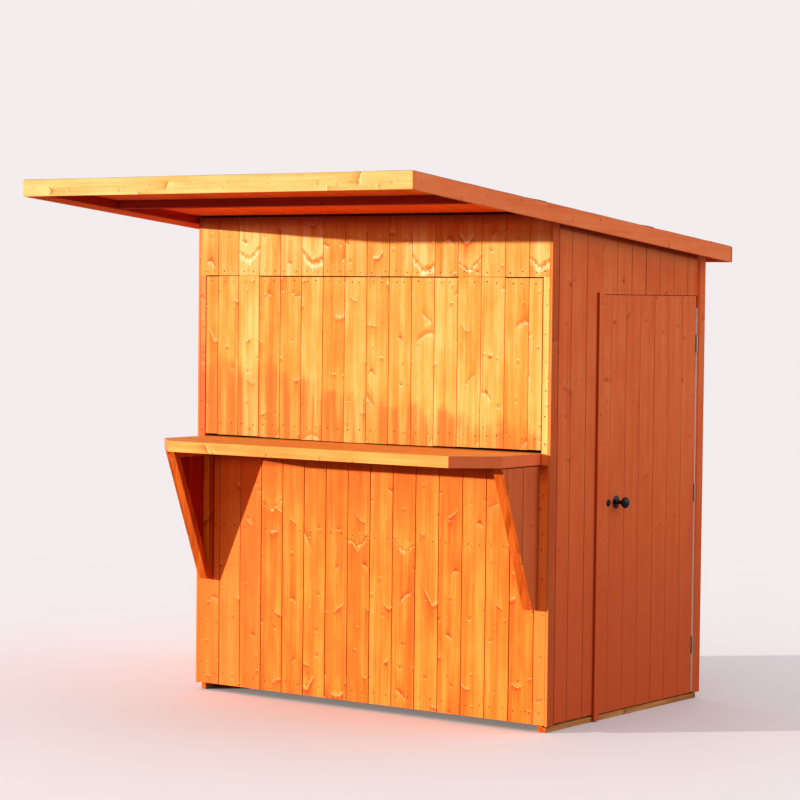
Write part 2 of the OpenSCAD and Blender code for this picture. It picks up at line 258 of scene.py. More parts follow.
    # streaks, rings, blotches and planer marks
    nb = noise(t, vec(t, u * 27.0 + ox, v * 0.9 + ox, 0.0), 1.0, 2.0, 0.5)
    nn = noise(t, vec(t, u * 100.0 + ox * 3.0 + dist * 0.4, v * 1.9 + ox, 0.0), 1.0, 3.0, 0.6)
    n2 = noise(t, vec(t, u * 430.0 + ox * 9.0, v * 8.0, w * 90.0), 1.0, 3.0, 0.65)
    n3 = noise(t, vec(t, u * 10.0 + ox * 2.0, v * 4.5 + ox, 0.0), 1.0, 4.0, 0.6)
    slow = noise(t, vec(t, u * 5.0 + ox, v * 0.8 + ox, 0.0), 1.0, 2.0)
    uc = u + (slow - 0.5) * 0.06 + (r - 0.5) * 0.04
    ring = (uc * uc * 9000.0 + slow * 16.0 + v * 2.2 + dist * 7.0 + n2 * 1.5).sin()
    tongue = noise(t, vec(t, u * 64.0 + ox * 7.0, v * 2.3 + ox * 2.0, 0.0), 1.0, 1.0).ramp(0.62, 0.70)
    chat = (v * 520.0 + noise(t, vec(t, u * 9.0, v * 3.0, ox), 1.0, 1.0) * 9.0).sin() \
        * noise(t, vec(t, u * 12.0 + ox, v * 5.0, ox), 1.0, 1.0).ramp(0.5, 0.7)
    k = ((nb - 0.5) * (1.15 * streak) + (nn - 0.5) * (0.62 * streak) + (n3 - 0.5) * 0.85
         + ring * 0.05 + (n2 - 0.5) * 0.42 + chat * 0.025 + (r * 71.3).sin() * (0.26 * vary) + 0.5)
    k = (k - patch * (0.42 * figure) + halo * (0.20 * figure) + tongue * (0.20 * streak)
         - cdark * 0.55 + chalo * 0.42)
    cr = t.nodes.new("ShaderNodeValToRGB")
    e = cr.color_ramp.elements
    e[0].position, e[0].color = 0.10, (*dark, 1.0)
    e[1].position, e[1].color = 0.50, (*mid, 1.0)
    x = e.new(0.90); x.color = (*light, 1.0)
    t.links.new(k.o, cr.inputs[0])
    col = Sock(t, cr.outputs[0])
    col = mixc(t, (under * (0.80 * figure) + arcd * 0.45 + cdark * 0.50).min(0.9), col, knot)
    col = mixc(t, (vee * (0.75 * figure) + arc * 0.6 + cpale * 0.7).min(0.9), col, pale)
    col = mixc(t, (core + core2).min(0.92), col, knot)
    col = mixc(t, (cdot * 0.9).min(1.0), col, pale)
    if bands or slants:
        g = t.nodes.new("ShaderNodeTexCoord")
        gs = t.nodes.new("ShaderNodeSeparateXYZ")
        t.links.new(g.outputs["Object"], gs.inputs[0])
        px, py, z = (Sock(t, gs.outputs[i]) for i in range(3))
        gn = noise(t, Sock(t, g.outputs["Object"]), 7.0, 3.0)
        zz = z + (gn - 0.5) * 0.30
        for lo, hi, below, above, tint, lean in bands:
            amt = (zz + px * lean).ramp(lo, hi, below, above)
            if lean:
                amt = amt * (nb + (nn - 0.5) * 0.4).ramp(0.36, 0.62, 1.0, 0.30)
            col = mixc(t, amt, col, tone(tint))
        for ax, ay, az_, lo, hi, amount, tint in slants:
            along = px * ax + py * ay + z * az_
            col = mixc(t, along.ramp(lo, hi, 0.0, amount), col, tint)
    if joint:
        col = mixc(t, jt.ramp(0.05, 0.75) * deep, col, joint)
        col = mixc(t, jt.ramp(1.05, 1.6), col, tuple(x * 0.22 for x in joint))
    t.links.new(col.o, bsdf.inputs["Base Color"])
    rg = nn * 0.25 + (n2 - 0.5) * 0.2 + rough - 0.12
    t.links.new(rg.o, bsdf.inputs["Roughness"])
    bsdf.inputs["IOR"].default_value = 1.1
    bump(t, bsdf, n2 * 0.6 + ring * 0.10 + chat * 0.15 - core * 0.4, 0.35, 0.0008)
    return m


# Stained softwood: one orange coat. The palettes are set for how each face is lit: golden where the sun
# has it on the upper front, deeper on the lower front, red-brown on the sides and in the shade, so part of the
# light and shade is painted into them.
UP = ((0.57, 0.150, 0.008), (0.78, 0.278, 0.042), (0.88, 0.435, 0.130),
      (0.55, 0.080, 0.003), (1.0, 0.76, 0.44))
# The slants are painted shade at the top of the front: the canopy's shadow following its edge across the boards,
# darker shade towards the roof, and a black shadow line just under the roof boards.
W_UP = wood("wood_front_upper", (0.57, 0.158, 0.011), (0.78, 0.296, 0.054),
            (0.88, 0.465, 0.160), *UP[3:], joint=(0.60, 0.060, 0.004), figure=0.9, streak=0.85,
            slants=[(0.033, 0, 1, 1.925, 1.985, 0.62, (0.56, 0.062, 0.006)),
                    (0, 0, 1, 1.960, 2.026, 0.90, (0.19, 0.008, 0.003)),
                    (0, 0, 1, 2.0195, 2.0215, 0.97, (0.015, 0.0, 0.0))], sheen_lift=0.005)
# The band is a painted dappled shadow: darker towards the bottom of the hatch, in streaks, more on the left.
W_HATCH = wood("wood_hatch", *UP, joint=(0.60, 0.060, 0.004), figure=0.52, streak=0.78,
               knots=0.85,
               bands=[(1.240, 1.325, 0.90, 0.0, (0.60, 0.118, 0.012), 0.145)], sheen_lift=0.005)
# The slant reddens the strip below the counter's top, where the counter's shadow falls: painted shade.
W_STRIP = wood("wood_front_strip", (0.76, 0.33, 0.066), (0.84, 0.44, 0.118),
               (0.90, 0.53, 0.18), (0.55, 0.080, 0.003), (1.0, 0.80, 0.5),
               figure=0.6, streak=0.7, joint=(0.60, 0.060, 0.004), sheen_lift=0.008,
               slants=[(0, 0, -1, -1.094, -1.082, 0.85, (1.0, 0.165, 0.022))])
W_STRIPL = wood("wood_front_strip_left", (0.68, 0.170, 0.040), (0.80, 0.225, 0.055),
                (0.86, 0.30, 0.080), (0.55, 0.080, 0.003), (1.0, 0.60, 0.30),
                figure=0.5, streak=0.7, joint=(0.60, 0.060, 0.004), sheen_lift=0.006,
                bands=[(1.30, 1.62, 0.9, 0.0, (0.58, 0.095, 0.022), 0.0)])
# The slants darken the wall just under the counter: painted shade, the counter's shadow and the dark beneath it.
W_LOW = wood("wood_front_lower", (0.53, 0.088, 0.004), (0.72, 0.158, 0.012),
             (0.82, 0.255, 0.034), (0.42, 0.042, 0.002), (0.96, 0.50, 0.16),
             joint=(0.34, 0.030, 0.003), streak=1.0, figure=0.75, sheen_lift=0.004,
             bands=[(0.72, 1.04, 0.0, 0.45, (0.62, 0.102, 0.006), 0.0)],
             slants=[(0, 0, 1, 0.966, 0.992, 0.62, (0.26, 0.024, 0.002)),
                     (0, 0, 1, 0.990, 1.040, 0.50, (0.14, 0.006, 0.001))])
# W_LOWR and W_LOWL are brighter, redder copies of the lower front for boards that stand in shade beside the
# brackets: painted light in their shade. Their slants paint the shade under the counter.
W_LOWR = wood("wood_front_end_painted_light_shade", (0.90, 0.125, 0.010), (1.0, 0.168, 0.018),
              (1.0, 0.222, 0.034), (0.55, 0.05, 0.004), (1.0, 0.45, 0.14),
              joint=(0.34, 0.030, 0.003), streak=0.8, figure=0.7, sheen_lift=0.006,
              slants=[(0, 0, 1, 0.966, 0.992, 0.35, (0.46, 0.042, 0.003)),
                      (0, 0, 1, 0.990, 1.040, 0.55, (0.22, 0.008, 0.001))])
W_LOWL = wood("wood_front_corner_painted_light_shade", (0.84, 0.112, 0.008), (0.95, 0.152, 0.015),
              (1.0, 0.205, 0.028), (0.55, 0.05, 0.004), (1.0, 0.45, 0.14),
              joint=(0.34, 0.030, 0.003), streak=0.8, figure=0.7, sheen_lift=0.005,
              slants=[(0, 0, 1, 0.950, 0.992, 0.30, (0.46, 0.036, 0.003)),
                      (0, 0, 1, 0.975, 1.030, 0.85, (0.20, 0.004, 0.001))])
# The slants paint the canopy's shade at the top of the front trims, as on the upper front.
W_EDGE = wood("wood_trim_edge", (0.56, 0.13, 0.014), (0.68, 0.180, 0.022),
              (0.80, 0.235, 0.034), (0.40, 0.05, 0.006), (0.9, 0.4, 0.12),
              knots=0.2, streak=0.7, figure=0.5,
              slants=[(0.033, 0, 1, 1.925, 1.985, 0.62, (0.46, 0.050, 0.006)),
                      (0, 0, 1, 1.960, 2.026, 0.90, (0.19, 0.008, 0.003))])
W_BAT = wood("wood_bracket_batten", (0.30, 0.036, 0.0010), (0.46, 0.066, 0.004),
             (0.58, 0.105, 0.010), (0.20, 0.016, 0.001), (0.72, 0.20, 0.05),
             knots=0.25, streak=1.4, figure=0.5, sheen_lift=0.002)
# A brighter copy of the batten stain for the upright battens' front faces, which stand in shade: painted light.
W_RAIL = wood("wood_bracket_rail_painted_light", (0.80, 0.14, 0.008), (0.95, 0.22, 0.016),
              (1.0, 0.30, 0.03), (0.40, 0.04, 0.002), (1.0, 0.40, 0.10),
              knots=0.25, streak=1.2, figure=0.5, sheen_lift=0.002)
W_END = wood("wood_counter_end", (0.82, 0.150, 0.038), (0.90, 0.174, 0.048),
             (0.96, 0.205, 0.060), (0.5, 0.06, 0.01), (1.0, 0.3, 0.1),
             knots=0.1, vary=0.15, streak=0.30, figure=0.2)
W_FAS = wood("wood_fascia", (0.56, 0.24, 0.035), (0.72, 0.360, 0.105),
             (0.80, 0.47, 0.17), (0.46, 0.12, 0.010), (0.92, 0.62, 0.30), vary=0.3)
SIDE = ((0.78, 0.115, 0.024), (0.88, 0.170, 0.042), (0.94, 0.225, 0.064),
        (0.50, 0.06, 0.012), (0.95, 0.27, 0.085))
SIDE_KW = dict(knots=0.34, vary=0.30, streak=0.66, rough=0.55, figure=0.5,
               bands=[(0.0, 1.6, 0.92, 0.0, (0.66, 0.092, 0.016), 0.0)])
W_SIDE = wood("wood_side", *SIDE, joint=(0.16, 0.016, 0.005), **SIDE_KW)
# The slants paint light on the wall just under the eave, where the overhang shades it, and a painted shadow line
# right under the roof's edge.
W_WALL = wood("wood_side_wall", *SIDE, joint=(0.34, 0.040, 0.010), deep=0.80,
              slants=[(0, SLOPE, 1, zu(0.0) - 0.14, zu(0.0) - 0.065, 0.75, (1.0, 0.27, 0.085)),
                      (0, SLOPE, 1, zu(0.0) - 0.068, zu(0.0) - 0.050, 0.85, (0.30, 0.012, 0.002))],
              **SIDE_KW)
W_DOOR = wood("wood_door", *SIDE, joint=(0.46, 0.058, 0.014), deep=0.75, **SIDE_KW)
W_STOP = wood("wood_cover_strip", *SIDE, joint=(0.40, 0.045, 0.006), deep=0.92, **SIDE_KW)
W_BARGE = wood("wood_barge", (0.88, 0.150, 0.036), (1.0, 0.225, 0.066),
               (1.0, 0.29, 0.095), (0.60, 0.07, 0.015), (1.0, 0.33, 0.12),
               knots=0.3, vary=0.1, streak=0.9, figure=0.5, rough=0.55)
W_TRIM = wood("wood_trim", (0.55, 0.080, 0.016), (0.66, 0.115, 0.024),
              (0.78, 0.160, 0.038), (0.36, 0.04, 0.008), (0.86, 0.22, 0.06),
              knots=0.34, vary=0.25, streak=0.6, rough=0.55, figure=0.5,
              joint=(0.12, 0.012, 0.004),
              bands=[(0.0, 1.6, 0.5, 0.0, (0.50, 0.068, 0.012), 0.0)])
# A near-black red for faces deep in shade under the counter: painted shade.
W_NOOK = wood("wood_painted_shade", (0.27, 0.006, 0.002), (0.36, 0.011, 0.003),
              (0.46, 0.022, 0.005), (0.20, 0.006, 0.001), (0.60, 0.05, 0.01),
              knots=0.2, vary=0.3, streak=0.9, figure=0.4, joint=(0.10, 0.002, 0.001), sheen_lift=0.002)
# The slant darkens the boards towards the wall: painted shade in the corner where a bracket meets the wall.
W_BRK = wood("wood_bracket", (0.58, 0.088, 0.020), (0.68, 0.128, 0.030),
             (0.78, 0.170, 0.042), (0.36, 0.04, 0.008), (0.86, 0.22, 0.06),
             knots=0.34, vary=0.25, streak=0.6, rough=0.55, figure=0.5,
             joint=(0.20, 0.022, 0.004), deep=0.85,
             slants=[(0, 1, 0, WALL_Y - 0.034, WALL_Y - 0.006, 0.55, (0.26, 0.028, 0.001))])
# The roof boards are a bright red and the canopy battens a near-black red, though both are the same stained timber:
# painted bounce light on the boards' underside and painted shade on the battens.
W_DECK = wood("wood_roof_boards_painted_light", (0.90, 0.075, 0.003), (1.0, 0.115, 0.005),
              (1.0, 0.160, 0.012), (0.55, 0.04, 0.002), (1.0, 0.24, 0.05),
              knots=0.4, rough=0.6, joint=(0.20, 0.015, 0.004), sheen_lift=0.004)
W_UNDER = wood("wood_canopy_painted_shade", (0.24, 0.010, 0.002), (0.33, 0.015, 0.003),
               (0.44, 0.026, 0.006), (0.14, 0.008, 0.002), (0.52, 0.07, 0.02),
               knots=0.4, rough=0.6, figure=0.5, sheen_lift=0.004)
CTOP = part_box("counter_top")[1][2]
# The slant gives the counter's top face a yellower colour than its front edge: painted light on the top.
W_CTR = wood("wood_counter", (0.78, 0.155, 0.022), (0.86, 0.232, 0.040),
             (0.92, 0.34, 0.075), (0.55, 0.07, 0.008), (1.0, 0.50, 0.15),
             joint=(0.40, 0.05, 0.008), deep=0.7, sheen_lift=0.006,
             slants=[(0, 0, 1, CTOP - 0.0014, CTOP - 0.0004, 0.75, (0.63, 0.295, 0.064))])
W_RAW = wood("wood_raw", (0.36, 0.20, 0.10), (0.50, 0.30, 0.155),
             (0.62, 0.41, 0.23), (0.24, 0.11, 0.05), (0.70, 0.50, 0.31),
             knots=0.6, rough=0.66, figure=0.7, joint=(0.12, 0.06, 0.03))
# Raw timber made near white, which also stands for the light showing through the door's gap: partly painted light.
# Above the door's top the slant gives it the stain's colour.
W_PALE = wood("wood_raw_pale_painted_light", (0.80, 0.66, 0.52), (0.96, 0.88, 0.76),
              (1.0, 0.95, 0.88), (0.30, 0.14, 0.06), (1.0, 0.96, 0.90),
              knots=0.2, rough=0.7, slants=[(0, 0, 1, 1.657, 1.662, 1.0, (0.60, 0.085, 0.02))])
W_BEARER = wood("wood_bearer", (0.26, 0.085, 0.020), (0.50, 0.185, 0.046),
                (0.66, 0.29, 0.095), (0.12, 0.035, 0.008), (0.70, 0.34, 0.13),
                knots=0.6, rough=0.75, streak=1.3)


def metal(name, base, rough, metallic=1.0, scale=300.0, spread=0.5, tint=(0.5, 0.4, 0.3),
          wear=0.2, coat=0.0, spec=0.5):
    m, t, bsdf = new_mat(name)
    tc = t.nodes.new("ShaderNodeTexCoord")
    o = Sock(t, tc.outputs["Object"])
    n = noise(t, o, scale, 4.0, 0.6)
    big = noise(t, o, 40.0, 3.0)
    col = mixc(t, (n * 0.6 + big * 0.6 - 0.2).ramp(0.35, 0.75, 0.0, wear), base, tint)
    t.links.new(col.o, bsdf.inputs["Base Color"])
    rr = (n - 0.5) * spread + rough
    t.links.new(rr.o, bsdf.inputs["Roughness"])
    bsdf.inputs["Metallic"].default_value = metallic
    bsdf.inputs["Specular IOR Level"].default_value = spec
    if coat:
        bsdf.inputs["Coat Weight"].default_value = coat
        bsdf.inputs["Coat Roughness"].default_value = 0.12
    bump(t, bsdf, n, 0.12, 0.0003)
    return m


M_BLACK = metal("gloss_black", (0.003, 0.003, 0.003), 0.20, metallic=0.0,
                spread=0.10, tint=(0.010, 0.009, 0.008), wear=0.5, coat=0.35, spec=0.15)
M_ZINC = metal("zinc", (0.55, 0.55, 0.53), 0.38, tint=(0.36, 0.33, 0.28), wear=0.6)
M_NAIL = metal("nail", (0.11, 0.026, 0.007), 0.7, metallic=0.0, tint=(0.06, 0.014, 0.004), wear=0.7, spec=0.05)

M_NAIL_S = metal("painted_nail", (0.34, 0.050, 0.012), 0.7, metallic=0.0, tint=(0.14, 0.024, 0.006),
                 wear=0.8, spec=0.05)


def felt_mat():
    m, t, bsdf = new_mat("mineral_felt")
    tc = t.nodes.new("ShaderNodeTexCoord")
    o = Sock(t, tc.outputs["Object"])
    g = noise(t, o, 700.0, 2.0, 0.7)
    b = noise(t, o, 5.0, 4.0, 0.6)
    vor = t.nodes.new("ShaderNodeTexVoronoi")
    vor.inputs["Scale"].default_value = 480.0
    t.links.new(o.o, vor.inputs["Vector"])
    chip = Sock(t, vor.outputs["Distance"])
    col = mixc(t, g, (0.030, 0.032, 0.030), (0.105, 0.108, 0.100))
    col = mixc(t, b.ramp(0.35, 0.75, 0.0, 0.45), col, (0.050, 0.056, 0.044))
    t.links.new(col.o, bsdf.inputs["Base Color"])
    rr = g * 0.15 + 0.78
    t.links.new(rr.o, bsdf.inputs["Roughness"])
    bump(t, bsdf, g * 0.7 + chip * 0.5, 0.6, 0.0012)
    return m


M_FELT = felt_mat()


# ------------------------------------------------------------ mesh helpers
class Builder:
    """Collects boards into one mesh, each with its own grain coordinates."""
    def __init__(self):
        self.v, self.f, self.co, self.id, self.m, self.j, self.k = [], [], [], [], [], [], []

    def add(self, verts, faces, coords, bid, mat=0, joint=None, mark=(0.0, 0.0)):
        n = len(self.v)
        self.v += verts
        self.f += [tuple(i + n for i in f) for f in faces]
        self.co += coords
        self.id += [bid] * len(verts)
        self.m += mat if isinstance(mat, list) else [mat] * len(faces)
        self.j += joint or [0.0] * len(verts)
        self.k += [(mark[0], mark[1], 0.0)] * len(verts)

    def make(self, name, mats, body, replaces=()):
        me = bpy.data.meshes.new(name)
        me.from_pydata(self.v, [], self.f)
        me.update()
        a = me.attributes.new("bco", "FLOAT_VECTOR", "POINT")
        a.data.foreach_set("vector", [c for p in self.co for c in p])
        b = me.attributes.new("bid", "FLOAT", "POINT")
        b.data.foreach_set("value", self.id)
        c = me.attributes.new("bjt", "FLOAT", "POINT")
        c.data.foreach_set("value", self.j)
        d = me.attributes.new("bmk", "FLOAT_VECTOR", "POINT")
        d.data.foreach_set("vector", [c for p in self.k for c in p])
        for mt in mats if isinstance(mats, (list, tuple)) else [mats]:
            me.materials.append(mt)
        me.polygons.foreach_set("material_index", self.m)
        bm = bmesh.new(); bm.from_mesh(me)
        bmesh.ops.recalc_face_normals(bm, faces=bm.faces)
        bm.to_mesh(me); bm.free()
        o = bpy.data.objects.new(name, me)
        bpy.context.scene.collection.objects.link(o)
        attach(o, body)
        if replaces:
            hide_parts(*replaces)
        return o


def board(B, O, U, V, W, u0, u1, lo, hi, t, g0=0.0005, g1=0.0005, ch=0.0020,
          tongue=0.0060, cuts=(), mat=0, mark=(0.0, 0.0), free=0.0, end=None,
          back=None, bid=None, deeper=(1.0, 1.0)):
    """One board. O + u U + v V + w W, with w into the wall from the face.
    lo and hi give the board's ends at (u, w)."""
    du = (u1 - u0)
    if g0 + g1 + 2 * ch > du * 0.5:
        ch = du * 0.1
    tg = min(tongue, t - 0.0002)
    # eased edges at the back, where the joints show as shallow grooves
    cb = 0.0013 if t - tg > 0.003 and g0 + g1 > 0 else 0.0
    # an edge with no neighbour has no joint beside it, or a lighter one
    j0, j1 = (deeper[0] if g0 > 0 else free), (deeper[1] if g1 > 0 else free)
    inner = sorted(c for c in cuts if u0 + 0.004 < c < u1 - 0.004)
    prof = [(u0 + cb, t, 0.0)] + [(c, t, 0.0) for c in inner] + [
        (u1 - cb, t, 0.0), (u1, t - cb, min(j1, 1.0)), (u1, tg, j1), (u1 - g1, tg, j1), (u1 - g1, ch, 0.8 * j1),
        (u1 - g1 - ch, 0.0, 0.0)] + [(c, 0.0, 0.0) for c in reversed(inner)] + [
        (u0 + g0 + ch, 0.0, 0.0), (u0 + g0, ch, 0.8 * j0), (u0 + g0, tg, j0), (u0, tg, j0),
        (u0, t - cb, min(j0, 1.0))]
    clean = []
    for p in prof:
        if not clean or (abs(p[0] - clean[-1][0]) + abs(p[1] - clean[-1][1])) > 1e-7:
            clean.append(p)
    if abs(clean[0][0] - clean[-1][0]) + abs(clean[0][1] - clean[-1][1]) < 1e-7:
        clean.pop()
    n = len(clean)
    uc = (u0 + u1) / 2
    sd = RNG.random()
    sd = sd if bid is None else bid
    verts, co, jt = [], [], []
    for k in (0, 1):
        for (u, w, j) in clean:
            vv = (lo, hi)[k](u, w)
            p = O + U * u + V * vv + W * w
            verts.append((p.x, p.y, p.z))
            co.append((u - uc, vv, w))
            jt.append(j)
    faces = [(i, (i + 1) % n, n + (i + 1) % n, n + i) for i in range(n)]
    fmat = [back if back is not None and i <= len(inner) else mat for i in range(n)]
    stops = [u0 - 1.0] + inner + [u1 + 1.0]
    for a, b in zip(stops, stops[1:]):
        cap = [i for i in range(n) if a - 1e-9 <= clean[i][0] <= b + 1e-9]
        faces.append(tuple(reversed(cap)))
        faces.append(tuple(i + n for i in cap))
        fmat += [mat if end is None else end] * 2
    B.add(verts, faces, co, sd, fmat, jt, mark)


def boards(B, O, U, V, W, edges, lo, hi, t, gap=(0.0004, 0.0010), marks={}, tops={},
           feet={}, wide={}, tone={}, mats={}, **kw):
    """A row of boards. By number: marks, longer tops and feet, wider joints, a
    tone from a board's own number, and another material."""
    gaps = [0.0] + [RNG.uniform(*gap) for _ in edges[1:-1]] + [0.0]
    for k, g in wide.items():
        gaps[k] = g
    for i in range(len(edges) - 1):
        up = (lambda u, w, d=tops[i]: hi(u, w) + d) if i in tops else hi
        dn = (lambda u, w, d=feet[i]: lo(u, w) - d) if i in feet else lo
        board(B, O, U, V, W, edges[i], edges[i + 1], dn, up, t,
              deeper=tuple(2.0 if wide.get(j, 0) > 0.002 else 1.0 for j in (i, i + 1)),
              g0=gaps[i], g1=gaps[i + 1], mark=marks.get(i, (0.0, 0.0)),
              bid=tone.get(i), mat=mats.get(i, 0), **kw)


# a board's number that makes it darker or paler than its neighbours
DARKER, PALER = 0.0661, 0.1101


def timber(name, nodes, mat, body, bevel=0.0015, axis=None, hide=True, front=None,
           sides=None, square=-0.6):
    """Sawn pieces: a node's solids with eased edges, each with its own grain.
    front and sides are the finish of the faces towards the front or the sides;
    square is how squarely a front face must look forward."""
    other = front or sides
    B = Builder()
    for nd in nodes:
        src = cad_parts[nd]
        bm = bmesh.new(); bm.from_mesh(src.data)
        bm.transform(src.matrix_world)
        bmesh.ops.remove_doubles(bm, verts=bm.verts, dist=1e-6)
        bmesh.ops.dissolve_limit(bm, angle_limit=math.radians(1.0), verts=bm.verts, edges=bm.edges)
        todo = set(bm.verts)
        groups = []
        while todo:
            st = [todo.pop()]; grp = set(st)
            while st:
                x = st.pop()
                for e in x.link_edges:
                    y = e.other_vert(x)
                    if y in todo:
                        todo.discard(y); grp.add(y); st.append(y)
            groups.append([v.co.copy() for v in grp])
        boxes = []
        for g in groups:
            lo = Vector([min(c[i] for c in g) for i in range(3)])
            hi = Vector([max(c[i] for c in g) for i in range(3)])
            boxes.append((lo, hi, RNG.random()))
        edges = [e for e in bm.edges if len(e.link_faces) == 2 and e.calc_face_angle(0) > 0.3]
        if bevel:
            bmesh.ops.bevel(bm, geom=edges, offset=bevel, offset_type="OFFSET",
                            segments=2, profile=0.6, affect="EDGES", clamp_overlap=True)
        bm.verts.ensure_lookup_table()
        vs, co, ids = [], [], []
        for v in bm.verts:
            best, bd = None, 1e9
            for bx in boxes:
                dd = sum(max(bx[0][i] - v.co[i], 0, v.co[i] - bx[1][i]) for i in range(3))
                if dd < bd:
                    bd, best = dd, bx
            lo, hi, sd = best
            ex = hi - lo
            L = axis if axis is not None else max(range(3), key=lambda i: ex[i])
            o2 = [i for i in range(3) if i != L]
            c = (lo + hi) / 2
            co.append((v.co[o2[0]] - c[o2[0]] + v.co[o2[1]] - c[o2[1]], v.co[L], 0.0))
            vs.append(tuple(v.co)); ids.append(sd)
        n = len(B.v)
        B.v += vs; B.co += co; B.id += ids; B.j += [0.0] * len(vs)
        B.k += [(0.0, 0.0, 0.0)] * len(vs)
        for f in bm.faces:
            B.f.append(tuple(v.index + n for v in f.verts))
            B.m.append(1 if (front and f.normal.y < square) or (sides and abs(f.normal.x) > 0.6) else 0)
        bm.free()
    return B.make(name, [mat, other] if other else mat, body, nodes if hide else ())


def nails(name, pts, normal, body, r=0.0030, mat=None):
    """Small nail heads, set just proud of the surface."""
    B = Builder()
    nrm = Vector(normal)
    a = nrm.orthogonal().normalized(); b = nrm.cross(a)
    for p in pts:
        c = Vector(p)
        rr = r * RNG.uniform(0.85, 1.15)
        vs, fs = [], []
        for k, (rad, h) in enumerate(((rr, -0.0010), (rr, 0.0002), (rr * 0.7, 0.0004))):
            for i in range(10):
                an = 2 * math.pi * i / 10
                q = c + (a * math.cos(an) + b * math.sin(an)) * rad + nrm * h
                vs.append(tuple(q))
        for k in range(2):
            for i in range(10):
                j = (i + 1) % 10
                fs.append((k * 10 + i, k * 10 + j, k * 10 + 10 + j, k * 10 + 10 + i))
        fs.append(tuple(range(20, 30)))
        fs.append(tuple(range(9, -1, -1)))
        B.add(vs, fs, [(0, 0, 0)] * len(vs), 0.5)
    return B.make(name, mat or M_NAIL, body)


def jit(a):
    return RNG.uniform(-a, a)


def pair_row(edges, inset=0.028, z=0.0, dz=0.004):
    """Two nails to a board across a row."""
    out = []
    for a, b in zip(edges, edges[1:]):
        w = b - a
        if w < 0.025:
            continue
        if w < 0.07:
            out.append(((a + b) / 2 + jit(0.005), z + jit(dz)))
        else:
            out.append((a + inset + jit(0.008), z + jit(dz)))
            out.append((b - inset + jit(0.008), z + jit(dz)))
    return out


X, Y, Z = Vector((1, 0, 0)), Vector((0, 1, 0)), Vector((0, 0, 1))
O0 = Vector((0, 0, 0))


def zfun(z):
    return lambda u, w: z


# ---------------------------------------------------------------- camera
az, pit, rol = 0.63231, 0.0403, 0.011
fwd = Vector((-math.sin(az) * math.cos(pit), math.cos(az) * math.cos(pit), -math.sin(pit)))
rgt = Vector((math.cos(az), math.sin(az), 0.0))
up = rgt.cross(fwd)
rr_ = rgt * math.cos(rol) + up * math.sin(rol)
uu_ = -rgt * math.sin(rol) + up * math.cos(rol)
cam = bpy.data.cameras.new("camera")
cam.sensor_width = 36.0
cam.lens = 115.72
cam.clip_end = 200.0
cam_o = bpy.data.objects.new("camera", cam)
bpy.context.scene.collection.objects.link(cam_o)
m3 = Matrix((rr_, uu_, -fwd)).transposed().to_4x4()
m3.translation = Vector((6.3085, -8.5295, 1.6954))
cam_o.matrix_world = m3
bpy.context.scene.camera = cam_o

# ------------------------------------------------------------ front boards
T = 0.012
up_lines = [-0.78965 + 0.113 * k for k in range(15)]
low_lines = [-0.7711 + 0.11448 * k for k in range(15)]
low_edges = [-HW] + low_lines + [HW]
up_edges = [-HW] + up_lines + [HW]
lw_lo, lw_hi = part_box("front_lower_wall")
B = Builder()
FO = Vector((0, WALL_Y, 0))
# Boards 0 to 2 and 15 take the brighter copies W_LOWL and W_LOWR: painted light for their shade beside the
# brackets.
boards(B, FO, X, Z, Y, low_edges, zfun(lw_lo[2]), zfun(lw_hi[2]), T,
       gap=(0.0004, 0.0009), ch=0.0018, tongue=0.004, mats={0: 2, 1: 2, 2: 2, 15: 1},
       marks={3: (0.79, 0.4), 7: (0.665, 0.5), 9: (0.66, 0.45)})
B.make("front_lower_boards", [W_LOW, W_LOWR, W_LOWL], "building", ["front_lower_wall"])

hd_lo, hd_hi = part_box("front_header")
B = Builder()
boards(B, FO, X, Z, Y, up_edges, zfun(hd_lo[2]), lambda u, w: zu(WALL_Y + w) - 0.0002, T,
       gap=(0.0001, 0.0004), ch=0.0015, tongue=0.003,
       marks={2: (1.835, 1.0), 5: (1.815, 1.1), 10: (1.790, 1.0), 12: (1.795, 0.5),
              15: (1.806, 0.8)})
B.make("front_header_boards", W_UP, "building", ["front_header"])

for nd, side in (("front_strip_left", -1), ("front_strip_right", 1)):
    lo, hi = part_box(nd)
    B = Builder()
    board(B, FO, X, Z, Y, lo[0], hi[0], zfun(lo[2]), zfun(hi[2]), T, g0=0, g1=0)
    B.make(nd + "_board", W_STRIP if side > 0 else W_STRIPL, "building", [nd])

h_lo, h_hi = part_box("hatch_boards")
hatch_edges = [h_lo[0] - 0.0022] + up_lines + [h_hi[0] + 0.0022]
B = Builder()
boards(B, FO, X, Z, Y, hatch_edges, zfun(h_lo[2]), zfun(h_hi[2]), T,
       gap=(0.0001, 0.0004), ch=0.0015, tongue=0.003,
       tops={1: 0.0018, 2: 0.0038, 12: 0.0036, 13: 0.0032}, free=0.8, tone={0: DARKER},
       feet={1: 0.002, 2: 0.002, 3: 0.004, 4: 0.0055, 5: 0.0065, 6: 0.007, 7: 0.0075, 8: 0.006,
             9: 0.005, 10: 0.005, 11: 0.0025, 12: 0.001, 15: -0.0015})
B.make("hatch_panel", W_HATCH, "hatch", ["hatch_boards"])

# ------------------------------------------------------------- side walls
lines = [159 + 113 * k for k in range(9)]
RO = Vector((HW, 0, 0))
LO = Vector((-HW, 0, 0))


def side_top(u, w):
    return zu(u) - 0.0002


